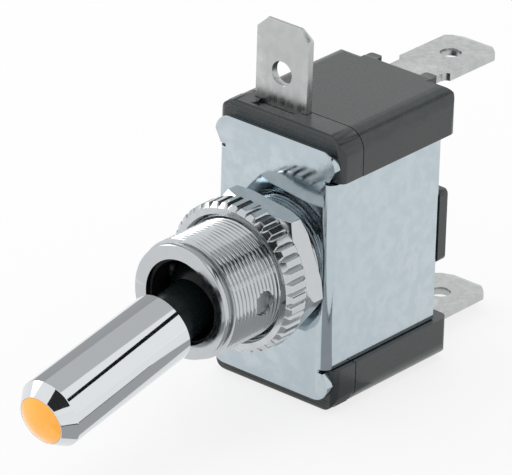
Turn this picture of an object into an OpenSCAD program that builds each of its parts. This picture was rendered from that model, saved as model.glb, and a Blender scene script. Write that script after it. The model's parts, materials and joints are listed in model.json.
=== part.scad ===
// Illuminated panel toggle switch with a threaded bushing, a lit lever and blade terminals.
// Origin: on the bushing axis, in the front face plane of the knurled nut.
// The lever points along -Y, the terminals lie behind and above, +Z is up.

/* [Bracket] */
// Width of the front plate across its ears
plate_w = 14.7; // [13.8:0.1:15.2]
// Height of the front plate
plate_h = 25.8; // [24:0.1:27.5]
// Thickness of the bracket's steel sheet
sheet_t = 0.8; // [0.6:0.1:1]
// Radius of the plate's four outer corners
ear_corner_r = 1.8; // [1:0.1:2.4]
// Outside width across the two cheeks
cheek_span = 14.1; // [13.6:0.1:14.4]
// Distance of the cheeks' rear edges in front of the caps' back
cheek_in = 1.7; // [1.3:0.05:2.4]
// Outside radius of the bends between plate and cheeks
bend_r = 1; // [0.9:0.1:1.4]
// Height of the ear's slanted inner corner
ear_slant_h = 1.3; // [0.8:0.1:1.6]
// Height of the folded retaining tabs behind the cheeks
fold_h = 1.4; // [1:0.1:2]

/* [Moulding] */
// Width of the moulded caps above and below the cheeks
cap_w = 15.3; // [15.2:0.1:16.5]
// Height of the whole moulding
housing_h = 28.5; // [27.9:0.1:30]
// Height of the recess between the caps that takes the cheeks
cap_gap_h = 19.4; // [18.6:0.1:20.4]
// Distance from the plate's front face to the back of the caps
housing_depth = 17.75; // [17:0.05:19]
// Radius along the caps' long outer edges
cap_edge_r = 2; // [1.4:0.1:2.6]
// Radius of the upright front corners
front_corner_r = 0.8; // [0.5:0.1:1.2]
// Radius of the front cover's upper and lower edges
front_edge_r = 0.4; // [0.2:0.1:0.6]
// Radius of the caps' edges at the back
rear_edge_r = 1; // [0.5:0.1:1.2]
// Thickness of the front cover moulding
cover_t = 2.95; // [2.4:0.05:3.4]
// Gap at the seam between front cover and housing
seam_gap = 0.06; // [0.04:0.01:0.15]
// Height of the block between the caps at the back
back_block_h = 7.5; // [6:0.1:9]
// Width of the block between the caps at the back
back_block_w = 14.4; // [13:0.1:15]
// Distance of that block's back in front of the caps' back
back_block_in = 0.45; // [0.2:0.05:0.7]
// Distance of the waist's back in front of the caps' back
waist_in = 0.75; // [0.5:0.05:0.9]
// Depth of the relief pocket in front of the front terminal
pocket_d = 0.35; // [0.2:0.05:0.5]
// Width of each rib beside the rear terminals
rib_w = 1.45; // [1.1:0.05:1.8]
// Clear distance between the two ribs
rib_span = 5.3; // [5.1:0.1:6]
// Sideways place of the pair of ribs
rib_x = 0.3; // [0:0.1:0.6]
// Height that the ribs stand out behind the caps
rib_out = 0.85; // [0.5:0.05:1.2]

/* [Cavity] */
// Width of the mechanism's cavity
cavity_w = 8.8; // [8:0.1:9.6]
// Height of the mechanism's cavity
cavity_h = 17.2; // [16.6:0.1:18]
// Thickness of the cavity's back wall at the waist
back_wall_t = 3.4; // [2.8:0.05:4]

/* [Bushing] */
// Length of the bushing in front of the plate
bushing_len = 13.05; // [12:0.05:15]
// Radius over the thread's crests
thread_r = 5.9; // [5.7:0.05:6]
// Radius of the bushing's bore
bore_r = 4.53; // [4.4:0.01:4.7]
// Radius of the turned-in rim at the bushing's mouth
mouth_r = 4.15; // [4.05:0.05:4.3]
// Length of the turned-in rim
rim_len = 0.5; // [0.3:0.05:0.8]
// Radius of the plain lip at the bushing's mouth
lip_r = 5.7; // [5.5:0.05:5.8]
// Length of the plain lip
lip_len = 0.5; // [0.3:0.05:0.8]
// Length of the relief between lip and thread
relief_len = 0.5; // [0.3:0.05:0.8]
// Depth of the reliefs below the crests
relief_d = 0.4; // [0.3:0.05:0.6]
// Radius of the tenon that passes through the plate
tenon_r = 5.1; // [4.95:0.05:5.2]
// Radius of the tenon's staked rim behind the plate
stake_r = 5.45; // [5.3:0.05:5.5]
// Thickness of the staked rim
stake_t = 0.5; // [0.3:0.05:0.8]
// Thickness of the black liner in the bushing's mouth
liner_t = 0.55; // [0.35:0.05:0.6]
// Length of the black liner
liner_len = 2.1; // [1:0.1:2.3]

/* [Nuts] */
// Thickness of the knurled nut
knurl_t = 2.7; // [2.2:0.1:3.5]
// Radius over the knurled nut's teeth
knurl_r = 7.45; // [7:0.05:8]
// Depth of the knurl
knurl_d = 0.42; // [0.2:0.02:0.6]
// Number of teeth on the knurled nut
knurl_teeth = 40; // [24:1:60]
// Chamfer on the knurled nut's faces
knurl_chamfer = 0.45; // [0.2:0.05:0.6]
// Width across flats of the hexagon nut
hex_af = 13.6; // [13:0.1:15]
// Thickness of the hexagon nut
hex_t = 2.2; // [1.8:0.1:3]
// Angle of the hexagon nut's first corner below the X axis
hex_turn = 7; // [0:1:30]
// Gap between the hexagon nut and the plate
hex_gap = 1.2; // [0.6:0.1:3]

/* [Lever] */
// Distance from the plate's front face forward to the lever's pivot
pivot_depth = 7.8; // [7.4:0.1:8.2]
// Angle of the latched lever below the bushing axis
lever_tilt = 12.2; // [9:0.1:12.6]
// Radius of the lever's chrome tube
lever_r = 3.5; // [3.2:0.05:3.7]
// Radius of the tube's bore
tube_bore_r = 2.7; // [2.4:0.05:2.8]
// Distance from the pivot to the back end of the tube
tube_start = 7.9; // [7.4:0.05:9]
// Distance from the pivot to the front end of the tube
tube_end = 24.75; // [23:0.05:28]
// Length of the taper at the tube's front edge
tip_taper_len = 1.3; // [0.8:0.05:1.8]
// Depth of that taper
tip_taper_d = 1; // [0.5:0.05:1.05]
// Radius of the lens
lens_r = 2.4; // [2.1:0.05:2.5]
// Height of the lens's dome
lens_dome_h = 0.75; // [0.5:0.05:0.9]
// Radius of the stem between ball and tube
stem_r = 2.6; // [2.3:0.05:2.65]
// Radius of the stem's ball
ball_r = 4.3; // [4.1:0.05:4.35]
// Radius of the stem's inner leg
leg_r = 2.3; // [2:0.05:2.4]
// Radius of the two pivot pins
pin_r = 1.2; // [1:0.05:1.3]
// Radius of the lamp
lamp_r = 1.5; // [1.2:0.05:1.6]
// Length of the lamp's body behind its dome
lamp_len = 3.4; // [2.6:0.1:4]
// Length of the resistor
resistor_len = 3.3; // [2.4:0.1:3.6]
// Radius of the resistor's end caps
resistor_r = 1.1; // [0.8:0.05:1.3]
// Radius of the lamp's lead
lead_r = 0.5; // [0.3:0.05:0.6]

/* [Mechanism] */
// Distance of the rocker's pivot in front of the cavity's back wall
rocker_in = 2.7; // [2.6:0.05:2.9]
// Rocker angle for each degree of lever angle
rocker_ratio = 0.6; // [0.5:0.01:0.65]
// Thickness of the rocker's strip
rocker_t = 0.7; // [0.5:0.05:0.8]
// Width of the rocker's strip
rocker_w = 4.6; // [4:0.1:5]
// Height of the rocker
rocker_h = 14.4; // [13.8:0.1:14.8]
// Radius of the rocker's trunnion
trunnion_r = 0.6; // [0.5:0.05:0.65]
// Radius of the plunger and of its round tip
plunger_r = 1.2; // [1:0.05:1.3]
// Length of the plunger's straight body
plunger_len = 5; // [4:0.1:6]
// Height of the moving contact above the rocker's pivot
contact_z = 5.9; // [5.4:0.1:6.1]
// Radius of the contacts
contact_r = 1.2; // [0.9:0.05:1.3]

/* [Terminals] */
// Width of the blades
blade_w = 6.3; // [6.2:0.05:6.4]
// Thickness of the terminals
blade_t = 0.8; // [0.75:0.01:0.85]
// Height of the front terminal above the moulding
front_out = 8.35; // [7.5:0.05:9.5]
// Sideways place of the front terminal
front_x = -1.9; // [-2.2:0.1:0]
// Distance from the housing's back to the tips of the rear terminals
rear_out = 11.8; // [11:0.1:13]
// Length of the rear terminals' neck
neck_len = 3; // [2.5:0.1:4]
// Width of the rear terminals' neck
neck_w = 5.1; // [4.4:0.1:5.4]
// Sideways place of the rear terminals
rear_x = 0.6; // [0:0.1:1]
// Height of the upper rear terminal's middle above the bushing axis
upper_z = 13; // [12.6:0.05:13.1]
// Height of the lower rear terminal's middle below the bushing axis
lower_z = 12.6; // [12.2:0.05:13.1]
// Radius of the front blade's hole
front_hole_r = 1.2; // [0.8:0.05:1.4]
// Distance from the front blade's tip to its hole
front_hole_in = 5.1; // [3.6:0.1:5.4]
// Radius of the rear blades' holes
rear_hole_r = 1.05; // [0.8:0.05:1.4]
// Distance from the rear blades' tips to their holes
rear_hole_in = 4.3; // [3.6:0.1:4.6]
// Chamfer of the front blade's tip corners
front_corner = 1.1; // [0.6:0.1:1.6]
// Chamfer of the rear blades' tip corners
rear_corner = 1.4; // [0.6:0.1:1.6]
// Length of the bevel at the blades' tips
blade_bevel = 0.9; // [0.5:0.1:1.2]

/* [Hidden] */
$fn = 64;

chrome = [0.78, 0.80, 0.82];
black = [0.13, 0.15, 0.15];
tinned = [0.70, 0.72, 0.72];
brass_tone = [0.80, 0.65, 0.35];
silver_tone = [0.86, 0.86, 0.84];
amber = [1.00, 0.66, 0.18];

fit_gap = 0.05;        // between pieces that are assembled together
press_gap = 0.02;      // between pieces that are pressed, riveted or crimped together
swing_gap = 0.15;      // between moving pieces and their neighbours
eps = 0.01;            // overshoot of cutting bodies

// Places along Y, counted back from the knurled nut's front face
hex_front_y = knurl_t;
hex_back_y = hex_front_y + hex_t;
plate_y = hex_back_y + hex_gap;
plate_back_y = plate_y + sheet_t;
mouth_y = plate_y - bushing_len;
thread_start_y = mouth_y + lip_len + relief_len;
seam_y = plate_back_y + cover_t;
housing_back_y = plate_y + housing_depth;
waist_back_y = housing_back_y - waist_in;
block_back_y = housing_back_y - back_block_in;
cavity_back_y = waist_back_y - back_wall_t;
cheek_back_y = housing_back_y - cheek_in;
pivot_y = plate_y - pivot_depth;
rocker_y = cavity_back_y - rocker_in;

// Widths and heights of the moulding's waist between the cheeks
waist_w = cheek_span - 2 * sheet_t - 2 * fit_gap;
cheek_h = cap_gap_h - 4 * fit_gap;
housing_top = housing_h / 2;
thread_relief_w = 0.6;  // shallow groove in the thread at the knurled nut's mouth
thread_relief_d = 0.1;
lens_seat = 2;         // depth of the lens's seat in the tube
mouth_chamfer = 0.45;   // lead-in of the nuts' bores
lip_chamfer = 0.25;

// Mechanism: the plunger's round tip runs in the rocker's trough
trough_y = -(trunnion_r + 0.4);
run_gap = 0.12;
pivot_span = rocker_y - pivot_y;
tip_reach = pivot_span + trough_y - run_gap - plunger_r;
trough_r = tip_reach / (1 + 2 * rocker_ratio) + plunger_r + run_gap;
trough_half = tip_reach * sin(lever_tilt) + 0.4;
rocker_tilt = rocker_ratio * lever_tilt;
leg_end = tip_reach - 1.6;
plunger_back = tip_reach - plunger_len;
spring_len = 3.8;
spring_seat = plunger_back - spring_len - 2 * fit_gap;
contact_rear = trough_y + rocker_t + 0.8;
terminal_leg_y = cavity_back_y - fit_gap - blade_t;
cradle_base_t = 0.8;
cradle_base_y = terminal_leg_y - cradle_base_t;
ear_in = rocker_w / 2 + swing_gap;
ear_t = 0.8;
rivet_r = 0.9;
rivet_tail_t = 0.5;

// Lamp and resistor in the tube, counted from the pivot
lamp_back = tube_end - lens_seat + 0.9 - lamp_r - lamp_len;
strap_t = 0.3;
resistor_front = lamp_back - strap_t - 2 * fit_gap;
resistor_back = resistor_front - resistor_len;

// Front terminal
front_tab_y = seam_y - blade_t;
front_tip_z = housing_top + front_out;
front_foot_z = housing_top - 3.2;
front_foot_w = 3;
slot_floor_z = front_foot_z - fit_gap;

// ---- helpers ----

// Extrudes a profile drawn in X and Z from y0 to y1
module along_y(y0, y1) {
    translate([0, y1, 0]) rotate([90, 0, 0]) linear_extrude(y1 - y0) children();
}

// Extrudes a profile drawn in Y and Z from x0 to x1
module along_x(x0, x1) {
    translate([x0, 0, 0]) rotate([90, 0, 90]) linear_extrude(x1 - x0) children();
}

// Turns a profile drawn as radius and distance about the Y axis
module turned() {
    rotate([-90, 0, 0]) rotate_extrude() children();
}

// A plain round bar or hole on the Y axis
module bar(r, y0, y1) {
    translate([0, y0, 0]) rotate([-90, 0, 0]) cylinder(r = r, h = y1 - y0);
}

// A box between two corners
module span_box(low, high) {
    translate(low) cube(high - low);
}

// A rectangle about the origin with four round corners
module round_rect(w, h, r) {
    square([w - 2 * r, h], center = true);
    square([w, h - 2 * r], center = true);
    for (sx = [-1, 1], sz = [-1, 1])
        translate([sx * (w / 2 - r), sz * (h / 2 - r)]) circle(r);
}

// Puts lever pieces, drawn level about their pivot, at the latched angle
module at_lever() {
    translate([0, pivot_y, 0]) rotate([lever_tilt, 0, 0]) children();
}

// Puts rocker pieces, drawn upright about their pivot, at the latched angle
module at_rocker() {
    translate([0, rocker_y, 0]) rotate([-rocker_tilt, 0, 0]) children();
}

// ---- bracket ----

// One half of the plate's outline between the ears, with its relief notches
module plate_outline() {
    flat_half = cheek_span / 2 - bend_r;
    ear_low = cheek_h / 2 + 0.35;
    ear_half = plate_w / 2;
    intersection() {
        round_rect(plate_w, plate_h, ear_corner_r);
        union() {
            square([2 * flat_half, plate_h], center = true);
            for (sx = [-1, 1], sz = [-1, 1])
                polygon([
                    [0, sz * ear_low],
                    [sx * (ear_half - 0.7), sz * ear_low],
                    [sx * ear_half, sz * (ear_low + ear_slant_h)],
                    [sx * ear_half, sz * plate_h / 2],
                    [0, sz * plate_h / 2]
                ]);
        }
    }
}

// A cheek with its bend and its folded tab, on the +X side
module cheek() {
    out = cheek_span / 2;
    fold_top = cheek_h / 2;
    fold_y = cheek_back_y + 0.4;
    intersection() {
        translate([out - bend_r, plate_y + bend_r, -cheek_h / 2]) difference() {
            cylinder(r = bend_r, h = cheek_h);
            translate([0, 0, -eps]) cylinder(r = bend_r - sheet_t, h = cheek_h + 2 * eps);
        }
        span_box([out - bend_r, plate_y, -cheek_h / 2], [out, plate_y + bend_r, cheek_h / 2]);
    }
    span_box([out - sheet_t, plate_y + bend_r, -cheek_h / 2], [out, cheek_back_y, cheek_h / 2]);
    // folded tab: a short reach past the cheek's edge, turned in behind the moulding's shoulder
    span_box([out - sheet_t, cheek_back_y, fold_top - fold_h], [out, fold_y - sheet_t, fold_top]);
    translate([out - sheet_t, fold_y - sheet_t, fold_top - fold_h]) intersection() {
        cylinder(r = sheet_t, h = fold_h);
        cube([sheet_t, sheet_t, fold_h]);
    }
    span_box(
        [out - sheet_t - 1.2, fold_y - sheet_t, fold_top - fold_h],
        [out - sheet_t, fold_y, fold_top]
    );
}

module frame_bracket() {
    color(chrome) difference() {
        union() {
            along_y(plate_y, plate_back_y) plate_outline();
            cheek();
            mirror([1, 0, 0]) cheek();
        }
        bar(tenon_r + fit_gap, plate_y - eps, plate_back_y + eps);
    }
}

// ---- bushing and nuts ----

module bushing() {
    stake_y = plate_back_y + fit_gap;
    color(chrome) difference() {
        union() {
            // lip with its chamfer, relief and thread
            turned() polygon([
                [0, mouth_y], [lip_r - lip_chamfer, mouth_y], [lip_r, mouth_y + lip_chamfer],
                [lip_r, mouth_y + lip_len], [thread_r - relief_d, mouth_y + lip_len + 0.1],
                [thread_r - relief_d, thread_start_y - 0.1], [thread_r, thread_start_y],
                [thread_r, 0], [thread_r - thread_relief_d, thread_relief_w / 2],
                [thread_r, thread_relief_w], [thread_r, plate_y - fit_gap],
                [0, plate_y - fit_gap]
            ]);
            bar(tenon_r, plate_y - 2 * fit_gap, stake_y + stake_t);
            turned() polygon([
                [0, stake_y], [stake_r, stake_y], [stake_r, stake_y + stake_t / 2],
                [tenon_r, stake_y + stake_t], [0, stake_y + stake_t]
            ]);
        }
        bar(mouth_r, mouth_y - eps, mouth_y + rim_len + eps);
        bar(bore_r, mouth_y + rim_len, stake_y + stake_t + eps);
        translate([0, mouth_y - eps, 0]) rotate([-90, 0, 0])
            cylinder(r1 = mouth_r + 0.12, r2 = mouth_r, h = 0.12);
        // cross holes for the pivot pins
        for (s = [-1, 1]) translate([0, pivot_y, 0]) rotate([0, s * 90, 0])
            cylinder(r = pin_r + press_gap, h = thread_r + 1);
    }
}

module bore_liner() {
    liner_y = mouth_y + rim_len + press_gap;
    color(black) difference() {
        bar(bore_r - 0.03, liner_y, liner_y + liner_len);
        bar(bore_r - 0.03 - liner_t, liner_y - eps, liner_y + liner_len + eps);
    }
}

module pivot_pins() {
    pin_in = 2.2;
    pin_out = thread_r - 0.45;
    color(tinned) for (s = [-1, 1])
        translate([0, pivot_y, 0]) rotate([0, s * 90, 0])
            translate([0, 0, pin_in]) cylinder(r = pin_r, h = pin_out - pin_in);
}

// The outline of a nut's bore with a lead-in at each mouth
module nut_bore(y0, y1) {
    r = thread_r + fit_gap;
    turned() polygon([
        [0, y0 - eps], [r + mouth_chamfer, y0 - eps], [r, y0 + mouth_chamfer],
        [r, y1 - mouth_chamfer], [r + mouth_chamfer, y1 + eps], [0, y1 + eps]
    ]);
}

module hex_nut() {
    corner_r = hex_af / 2 / cos(30);
    face_r = hex_af / 2 + 0.35;
    chamfer_t = (corner_r - face_r) * tan(35);
    color(chrome) difference() {
        intersection() {
            translate([0, hex_front_y, 0]) rotate([0, hex_turn, 0]) rotate([-90, 0, 0])
                cylinder(r = corner_r, h = hex_t, $fn = 6);
            turned() polygon([
                [0, hex_front_y], [face_r, hex_front_y], [corner_r + eps, hex_front_y + chamfer_t],
                [corner_r + eps, hex_back_y - chamfer_t], [face_r, hex_back_y], [0, hex_back_y]
            ]);
        }
        nut_bore(hex_front_y, hex_back_y);
    }
}

module knurled_nut() {
    step = 360 / knurl_teeth;
    root_r = knurl_r - knurl_d;
    crest_part = 0.23;  // half of each groove's share of the pitch
    color(chrome) difference() {
        intersection() {
            along_y(0, knurl_t - fit_gap) polygon([
                for (i = [0:knurl_teeth - 1], part = [-1, 0, 1])
                    let (a = (i + 0.5 + part * crest_part) * step, r = part == 0 ? root_r : knurl_r)
                        [r * cos(a), r * sin(a)]
            ]);
            turned() polygon([
                [0, 0], [knurl_r - knurl_chamfer, 0], [knurl_r + eps, knurl_chamfer],
                [knurl_r + eps, knurl_t - fit_gap - knurl_chamfer / 2],
                [knurl_r - knurl_chamfer / 2, knurl_t - fit_gap], [0, knurl_t - fit_gap]
            ]);
        }
        nut_bore(0, knurl_t - fit_gap);
    }
}

// ---- mouldings ----

// A rectangle that runs along X from x0 to x1, with one radius at each end
module two_radius_rect(x0, x1, h, r0, r1) {
    long = x1 - x0;
    intersection() {
        translate([x1, 0]) round_rect(2 * long, h, r0);
        translate([x0, 0]) round_rect(2 * long, h, r1);
    }
}

// The outer form of both mouldings, with every edge radius
module moulding_form() {
    intersection() {
        along_y(plate_back_y, housing_back_y) round_rect(cap_w, housing_h, cap_edge_r);
        translate([0, 0, -housing_top]) linear_extrude(housing_h) mirror([1, 0]) rotate(90)
            two_radius_rect(plate_back_y, housing_back_y, cap_w, front_corner_r, rear_edge_r);
        along_x(-cap_w / 2, cap_w / 2)
            two_radius_rect(plate_back_y, housing_back_y, housing_h, front_edge_r, rear_edge_r);
    }
}

// The space beside the waist that takes the two cheeks and their bends, back to y1
module cheek_recess(y1) {
    bend_in = bend_r - sheet_t + fit_gap;
    for (s = [0, 1]) mirror([s, 0, 0])
        translate([0, 0, -cap_gap_h / 2]) linear_extrude(cap_gap_h) polygon([
            [waist_w / 2 - bend_in, plate_back_y - 1], [waist_w / 2 - bend_in, plate_back_y],
            [waist_w / 2, plate_back_y + bend_in], [waist_w / 2, y1],
            [cap_w / 2 + 1, y1], [cap_w / 2 + 1, plate_back_y - 1]
        ]);
}

// The terminal's slot, foot window and relief pocket in the front cover
module front_cover_cuts() {
    half = blade_w / 2 + fit_gap;
    foot_half = front_foot_w / 2 + fit_gap;
    span_box(
        [front_x - half, front_tab_y - fit_gap, slot_floor_z],
        [front_x + half, seam_y + 1, housing_top + 1]
    );
    span_box(
        [front_x - foot_half, plate_back_y - 1, slot_floor_z],
        [front_x + foot_half, seam_y + 1, front_foot_z + blade_t + fit_gap]
    );
    // relief pocket in front of the blade, with an inward bulge at each end
    pocket_y = plate_back_y + 0.75;
    difference() {
        span_box(
            [front_x - blade_w / 2 + 0.3, pocket_y, housing_top - pocket_d],
            [front_x + blade_w / 2 - 0.4, front_tab_y, housing_top + 1]
        );
        for (s = [-1, 1])
            translate([front_x + s * blade_w / 2, (pocket_y + front_tab_y) / 2, housing_top - 2])
                cylinder(r = 0.95, h = 4);
    }
}

module front_cover() {
    color(black) difference() {
        intersection() {
            moulding_form();
            span_box(
                [-cap_w, plate_back_y - 1, -housing_h],
                [cap_w, seam_y, housing_h]
            );
        }
        cheek_recess(housing_back_y);
        bar(stake_r + 2 * fit_gap, plate_back_y - 1, seam_y + 1);
        front_cover_cuts();
    }
}

// The raised land behind the upper cap with a rib on each side of the terminal
module terminal_land() {
    outer = rib_span / 2 + rib_w;
    land_h = 3;
    along_x(rib_x - outer, rib_x + outer) translate([housing_back_y - land_h / 2, housing_top - land_h / 2])
        round_rect(land_h, land_h, 0.3);
    for (s = [-1, 1])
        translate([rib_x + s * (rib_span + rib_w) / 2, housing_back_y, housing_top - land_h + 0.3])
            linear_extrude(land_h - 0.35) round_rect(rib_w, 2 * rib_out, 0.35);
}

// The slot that takes one rear terminal, drawn for the upper one
module rear_terminal_slot(z_mid) {
    half = neck_w / 2 + fit_gap;
    t = blade_t / 2 + fit_gap;
    // channel that the inner leg is slid into, open to the front
    span_box([rear_x - half, seam_y - 1, 0], [rear_x + half, cavity_back_y, z_mid + t]);
    // slot through the back wall
    span_box([rear_x - half, cavity_back_y - 1, z_mid - t], [rear_x + half, housing_back_y + 1, z_mid + t]);
}

module housing() {
    color(black) difference() {
        union() {
            difference() {
                intersection() {
                    moulding_form();
                    span_box(
                        [-cap_w, seam_y + seam_gap, -housing_h],
                        [cap_w, housing_back_y + 1, housing_h]
                    );
                }
                cheek_recess(housing_back_y + 1);
                // the waist ends a little before the caps
                span_box(
                    [-cap_w, waist_back_y, -cap_gap_h / 2],
                    [cap_w, housing_back_y + 1, cap_gap_h / 2]
                );
            }
            // block between the caps, which backs the cheeks' rear edges
            along_y(cheek_back_y + 2 * fit_gap, block_back_y)
                round_rect(back_block_w, back_block_h, 0.5);
            for (sz = [0, 1]) mirror([0, 0, sz]) terminal_land();
        }
        // cavity for the mechanism
        span_box(
            [-cavity_w / 2, seam_y - 1, -cavity_h / 2],
            [cavity_w / 2, cavity_back_y, cavity_h / 2]
        );
        rear_terminal_slot(upper_z);
        mirror([0, 0, 1]) rear_terminal_slot(lower_z);
        // notches for the cheeks' folded tabs
        for (s = [0, 1]) mirror([s, 0, 0]) span_box(
            [cheek_span / 2 - sheet_t - 1.3, cheek_back_y + 0.4 - sheet_t - fit_gap, cheek_h / 2 - fold_h - fit_gap],
            [cap_w, waist_back_y + 1, cap_gap_h / 2]
        );
        // recess for the rivet's clinched tail
        bar(rivet_r + 0.75, cavity_back_y - 1, cavity_back_y + rivet_tail_t + 2 * fit_gap);
        // recess for the tail of the fixed contact
        translate([0, 0, fixed_contact_z()]) bar(contact_r, cavity_back_y - 1, cavity_back_y + 0.5);
    }
}

// ---- lever ----

module lever_handle() {
    color(chrome) at_lever() mirror([0, 1, 0]) turned() polygon([
        [tube_bore_r, tube_start], [lever_r - 0.3, tube_start], [lever_r, tube_start + 0.3],
        [lever_r, tube_end - tip_taper_len], [lever_r - tip_taper_d, tube_end],
        [lens_r + fit_gap, tube_end], [lens_r + fit_gap, tube_end - lens_seat], [tube_bore_r, tube_end - lens_seat]
    ]);
}

module lever_lens() {
    barrel_back = tube_end - lens_seat + 2 * fit_gap;
    dome_r = (lens_r * lens_r + lens_dome_h * lens_dome_h) / (2 * lens_dome_h);
    color(amber) at_lever() mirror([0, 1, 0]) turned() difference() {
        union() {
            translate([0, barrel_back]) square([lens_r, tube_end - barrel_back]);
            intersection() {
                translate([0, tube_end + lens_dome_h - dome_r]) circle(dome_r);
                translate([0, tube_end - eps]) square([lens_r, 2 * lens_dome_h]);
            }
        }
        square([lamp_r + 2 * fit_gap, lamp_back + lamp_len + lamp_r + 4 * fit_gap]);
        translate([-2 * lens_r, 0]) square([2 * lens_r, 2 * tube_end]);
    }
}

module lamp() {
    flange_w = 0.35;
    flange_t = 0.8;
    strap_half = 0.4;
    color(amber) at_lever() mirror([0, 1, 0]) {
        turned() {
            translate([0, lamp_back]) square([lamp_r, lamp_len]);
            translate([0, lamp_back]) square([lamp_r + flange_w, flange_t]);
            intersection() {
                translate([0, lamp_back + lamp_len]) circle(lamp_r);
                square([lamp_r, 2 * tube_end]);
            }
        }
        // ground strap from the lamp's base to the tube's wall
        span_box(
            [-strap_half, lamp_back - strap_t, 0],
            [strap_half, lamp_back + eps, tube_bore_r - fit_gap]
        );
    }
}

module lamp_resistor() {
    cap_len = 0.9;
    neck_r = resistor_r - 0.2;
    color([0.75, 0.66, 0.5]) at_lever() mirror([0, 1, 0]) turned() {
        translate([0, resistor_back]) square([neck_r, resistor_len]);
        translate([0, resistor_back + 2 * fit_gap]) square([resistor_r, cap_len]);
        translate([0, resistor_front - cap_len - 2 * fit_gap]) square([resistor_r, cap_len]);
    }
}

module lamp_lead() {
    color(brass_tone) at_lever()
        bar(lead_r, -(resistor_back - fit_gap), spring_seat - fit_gap);
}

module lever_stem() {
    spigot_end = tube_start + 4.5;
    color(black) at_lever() difference() {
        union() {
            rotate([0, 0, 45]) sphere(ball_r);
            bar(stem_r, -spigot_end, 0);
            bar(leg_r, 0, leg_end);
        }
        // blind holes for the pivot pins
        for (s = [-1, 1]) rotate([0, s * 90, 0]) translate([0, 0, 2]) cylinder(r = pin_r + fit_gap, h = ball_r);
        // lead way, plunger bore and the clearance round the lead
        bar(lead_r + fit_gap, -spigot_end - 1, spring_seat + 1);
        bar(plunger_r + 0.08, spring_seat, leg_end + 1);
    }
}

module plunger() {
    color(brass_tone) at_lever() {
        bar(plunger_r, plunger_back, tip_reach);
        translate([0, tip_reach, 0]) sphere(plunger_r);
    }
}

// Points round the wire where it has turned by angle a and risen to y
function wire_ring(a, y, coil, wire, sides) = [
    for (k = [0:sides - 1])
        let (b = 360 * k / sides, r = coil + wire * cos(b))
            [r * cos(a), y + wire * sin(b), r * sin(a)]
];

module plunger_spring() {
    turns = 5;
    steps = 14;
    sides = 6;
    wire = 0.15;
    coil = plunger_r - wire - 0.1;
    y0 = spring_seat + wire + fit_gap;
    rise = spring_len - 2 * wire;
    count = turns * steps;
    points = [for (i = [0:count]) each wire_ring(360 * i / steps, y0 + rise * i / count, coil, wire, sides)];
    faces = concat(
        [[for (k = [0:sides - 1]) k]],
        [for (i = [0:count - 1], k = [0:sides - 1])
            let (a = i * sides + k, b = i * sides + (k + 1) % sides)
                [a, a + sides, b + sides, b]],
        [[for (k = [sides - 1:-1:0]) count * sides + k]]
    );
    color(tinned) at_lever() polyhedron(points, faces);
}

// ---- contacts ----

// Height of the fixed contact, where the latched moving contact meets it
function fixed_contact_z() = contact_z * cos(rocker_tilt) - contact_rear * sin(rocker_tilt);

// The rocker's trough as front-face points from the lower rim to the upper one
function trough_points(n = 24) = [
    for (i = [0:n])
        let (z = trough_half * (2 * i / n - 1))
            [trough_y - trough_r + sqrt(trough_r * trough_r - z * z), z]
];

module rocker_contact() {
    // strip with a dished trough and flat ends, of even thickness along Y
    end = rocker_h / 2;
    shoulder = trough_half + 0.9;
    front = concat([[trough_y, -end], [trough_y, -shoulder]], trough_points(), [[trough_y, shoulder], [trough_y, end]]);
    rear = [for (i = [len(front) - 1:-1:0]) [front[i][0] + rocker_t, front[i][1]]];
    color(brass_tone) at_rocker() difference() {
        union() {
            along_x(-rocker_w / 2, rocker_w / 2) polygon(concat(front, rear));
            along_x(-rocker_w / 2, rocker_w / 2)
                translate([(trough_y + rocker_t) / 2 - 0.1, 0])
                    square([-trough_y - rocker_t + 0.4, 1.1], center = true);
            rotate([0, 90, 0]) translate([0, 0, -ear_in - ear_t])
                cylinder(r = trunnion_r, h = 2 * (ear_in + ear_t));
        }
        translate([0, 0, contact_z]) bar(contact_r * 0.5 + press_gap, -5, 5);
    }
}

module moving_contact() {
    color(silver_tone) at_rocker() translate([0, 0, contact_z]) {
        bar(contact_r, trough_y + rocker_t + press_gap, contact_rear);
        bar(contact_r * 0.5, trough_y - 0.1, contact_rear - 0.1);
        bar(contact_r * 0.75, trough_y - 0.32, trough_y - press_gap);
    }
}

module rocker_cradle() {
    base_h = 4;
    nose_r = 1.3;
    color(brass_tone) difference() {
        union() {
            span_box(
                [-ear_in - ear_t, cradle_base_y, -base_h / 2],
                [ear_in + ear_t, cradle_base_y + cradle_base_t - fit_gap, base_h / 2]
            );
            for (s = [0, 1]) mirror([s, 0, 0]) {
                span_box([ear_in, rocker_y, -nose_r], [ear_in + ear_t, cradle_base_y + 0.1, nose_r]);
                translate([ear_in, rocker_y, 0]) rotate([0, 90, 0]) cylinder(r = nose_r, h = ear_t);
            }
        }
        // trunnion holes
        translate([-ear_in - ear_t - 1, rocker_y, 0]) rotate([0, 90, 0])
            cylinder(r = trunnion_r + fit_gap, h = 2 * (ear_in + ear_t + 1));
        // countersunk hole for the rivet
        bar(rivet_r + fit_gap, cradle_base_y - 1, cradle_base_y + 2);
        translate([0, cradle_base_y - eps, 0]) rotate([-90, 0, 0])
            cylinder(r1 = rivet_r + 0.55, r2 = rivet_r + fit_gap, h = 0.5);
    }
}

module cradle_rivet() {
    head_y = cradle_base_y + fit_gap;
    tail_y = terminal_leg_y + blade_t + press_gap;
    color(tinned) {
        bar(rivet_r, head_y, tail_y + rivet_tail_t - 0.1);
        translate([0, head_y, 0]) rotate([-90, 0, 0])
            cylinder(r1 = rivet_r + 0.4, r2 = rivet_r, h = 0.4);
        // clinched tail behind the terminal's leg
        translate([0, tail_y, 0]) rotate([-90, 0, 0])
            cylinder(r1 = rivet_r + 0.6, r2 = rivet_r + 0.3, h = rivet_tail_t);
    }
}

// ---- terminals ----

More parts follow.
